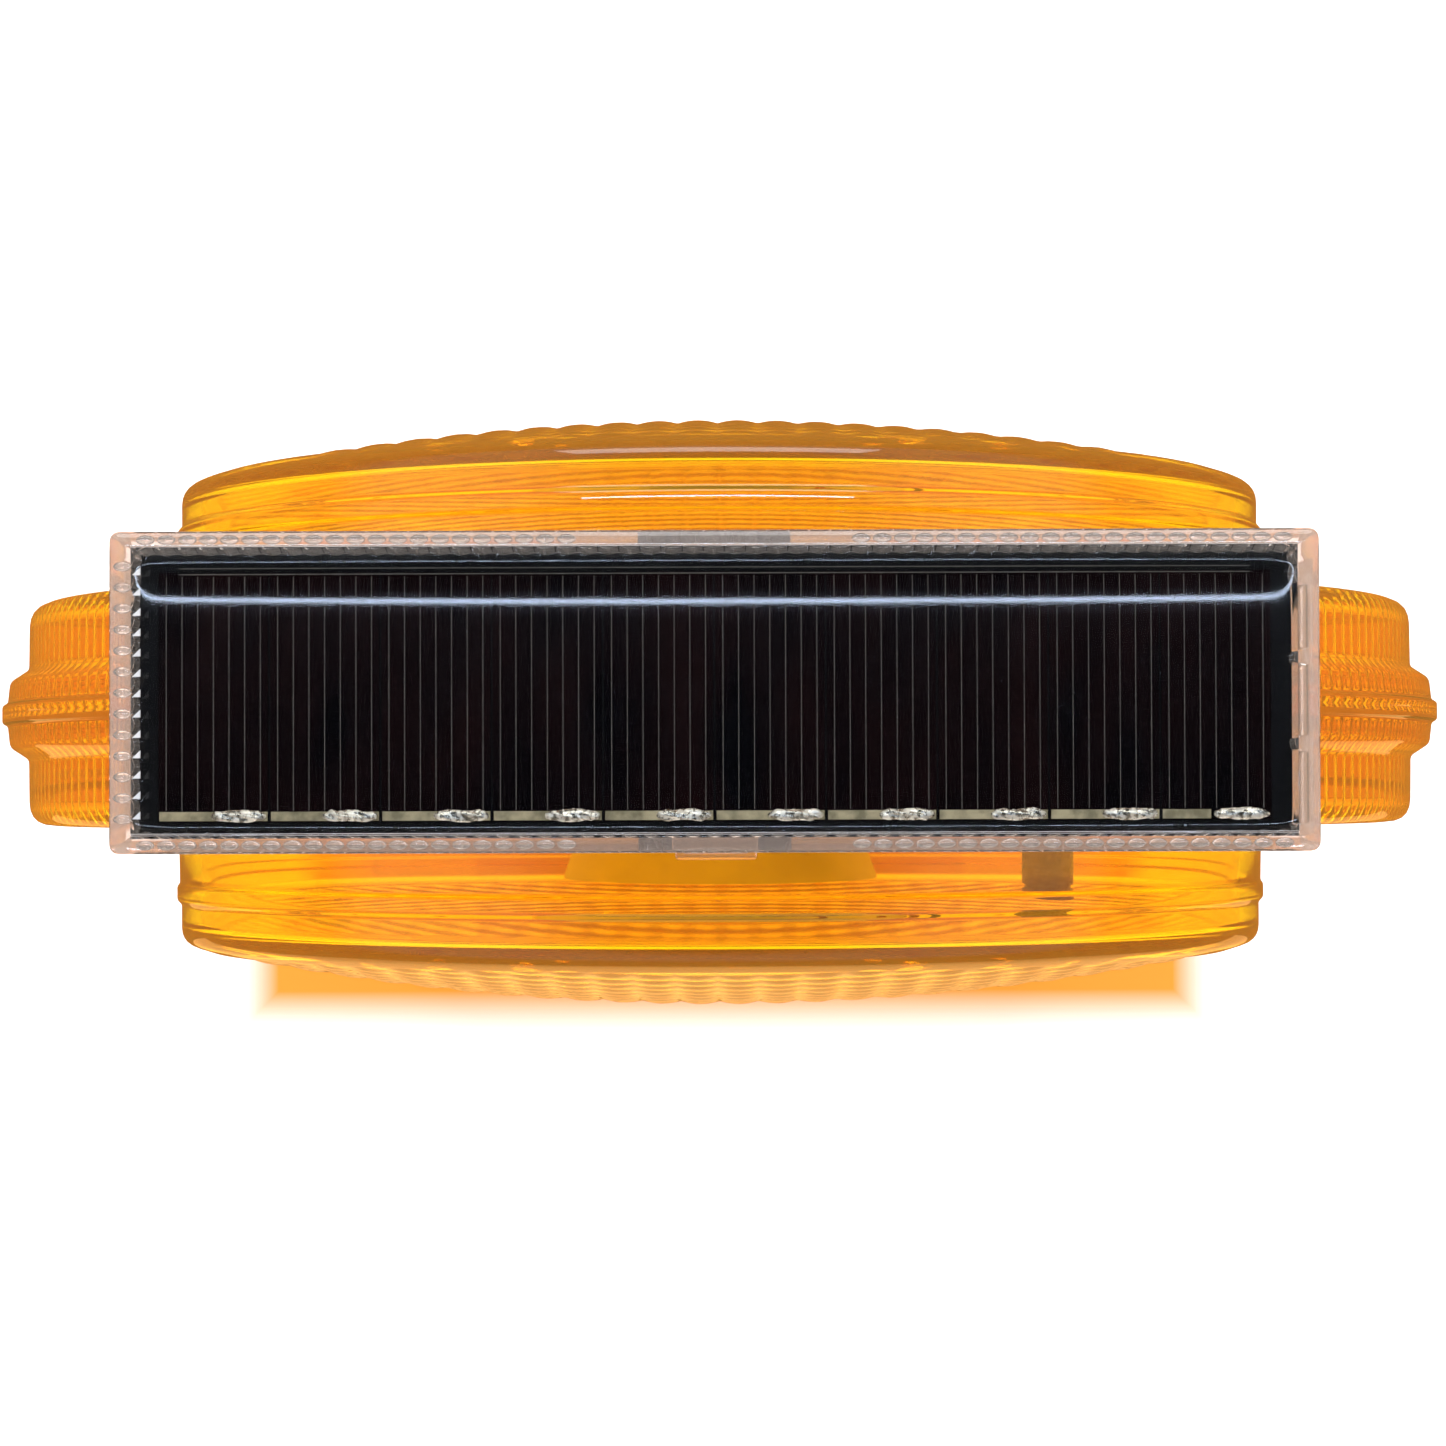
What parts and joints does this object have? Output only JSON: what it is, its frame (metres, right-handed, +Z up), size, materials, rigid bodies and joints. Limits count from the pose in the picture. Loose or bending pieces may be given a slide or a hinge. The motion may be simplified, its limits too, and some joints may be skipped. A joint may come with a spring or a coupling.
{
  "type": "barricade warning light",
  "caption": "Two-way barricade warning light: amber drum lens in a shoulder ring, clear-boxed solar panel on top, swivel foot on a battery case with a drawer.",
  "frame": {"origin": "middle of the underside of the battery case", "axes": "+Z up, front lens faces -Y, battery drawer opens towards +X"},
  "size_m": [0.19, 0.0766, 0.3062],
  "materials": {
    "amber_polycarbonate": "clear tinted, glossy",
    "yellow_moulding": "fine grain",
    "clear_acrylic": "clear, glossy",
    "clear_resin": "clear, glossy",
    "silicon_cells": "near black, glossy",
    "black_board": "matt",
    "tinned_copper": "dull tin",
    "stainless_steel": "fine brushed",
    "spring_steel": "bright",
    "zinc_plated_steel": "bright zinc",
    "nickel_plate": "polished",
    "brass": "machined",
    "white_plastic": "satin",
    "black_plastic": "satin",
    "green_board": "solder mask",
    "amber_epoxy": "clear tinted",
    "brown_sleeve": "shrink sleeve",
    "red_insulation": "glossy",
    "black_insulation": "glossy",
    "black_rubber": "matt",
    "silicone_seal": "translucent",
    "cell_jacket": "shrink wrap"
  },
  "bodies": {
    "case": {"battery_case": "yellow_moulding", "bottom_plate": "yellow_moulding", "plate_gasket": "black_rubber", "plate_screws": "stainless_steel", "bolt_sleeve": "zinc_plated_steel", "battery_bay": "black_plastic", "bay_contacts": "nickel_plate", "thread_insert": "brass", "switch_body": "black_plastic", "switch_nut": "brass", "switch_seal": "black_rubber", "swivel_seal": "black_rubber", "swivel_jack": "black_plastic", "case_wires": "red_insulation"},
    "head": {"front_lens": "amber_polycarbonate", "rear_lens": "amber_polycarbonate", "seam_gasket": "silicone_seal", "lens_screws": "stainless_steel", "swivel_foot": "yellow_moulding", "foot_screws": "stainless_steel", "swivel_clip": "spring_steel", "swivel_washer": "white_plastic", "led_carrier": "white_plastic", "lamp_board_front": "green_board", "lamp_board_rear": "green_board", "lamps_front": "amber_epoxy", "lamps_rear": "amber_epoxy", "reflector_front": "white_plastic", "reflector_rear": "white_plastic", "control_board": "green_board", "control_chips": "black_plastic", "storage_capacitor": "brown_sleeve", "solar_plug": "white_plastic", "solar_wire_red": "red_insulation", "solar_wire_black": "black_insulation", "battery_wire_red": "red_insulation", "battery_wire_black": "black_insulation", "lamp_wires": "red_insulation", "solar_saddle": "amber_polycarbonate", "saddle_screws": "stainless_steel", "wire_grommet": "black_rubber", "solar_tray": "clear_acrylic", "latch_pins": "spring_steel", "panel_seal": "black_rubber", "solar_board": "black_board", "solar_cells": "silicon_cells", "cell_ribbons": "tinned_copper", "panel_resin": "clear_resin", "swivel_plug": "nickel_plate"},
    "drawer": {"battery_drawer": "yellow_moulding", "drawer_seal": "black_rubber", "battery_cells": "cell_jacket", "cell_caps": "nickel_plate", "drawer_contacts": "nickel_plate"},
    "thumb_screw": {"drawer_screw": "black_plastic", "drawer_clip": "spring_steel"},
    "selector": {"switch_shaft": "stainless_steel", "switch_knob": "black_plastic"},
    "front_clasp": {"front_latch": "clear_acrylic"},
    "rear_clasp": {"rear_latch": "clear_acrylic"}
  },
  "joints": [
    {"name": "head_swivel", "type": "hinge", "parent": "case", "child": "head", "pos_m": [0, 0, 0.085], "axis": [0, 0, 1], "range_deg": [-90, 90]},
    {"name": "drawer_slide", "type": "slide", "parent": "case", "child": "drawer", "axis": [1, 0, 0], "range_m": [0, 0.115]},
    {"name": "thumb_screw_turn", "type": "hinge", "parent": "drawer", "child": "thumb_screw", "pos_m": [0.0672, 0, 0.065], "axis": [1, 0, 0], "continuous": true},
    {"name": "selector_turn", "type": "hinge", "parent": "case", "child": "selector", "pos_m": [-0.064, 0, 0.069], "axis": [1, 0, 0], "range_deg": [-60, 60]},
    {"name": "front_latch_swing", "type": "hinge", "parent": "head", "child": "front_clasp", "pos_m": [0, -0.0153, 0.297], "axis": [-1, 0, 0], "range_deg": [0, 14], "stiffness_Nm_per_rad": 0.02},
    {"name": "rear_latch_swing", "type": "hinge", "parent": "head", "child": "rear_clasp", "pos_m": [0, 0.0153, 0.297], "axis": [1, 0, 0], "range_deg": [0, 14], "stiffness_Nm_per_rad": 0.02}
  ]
}
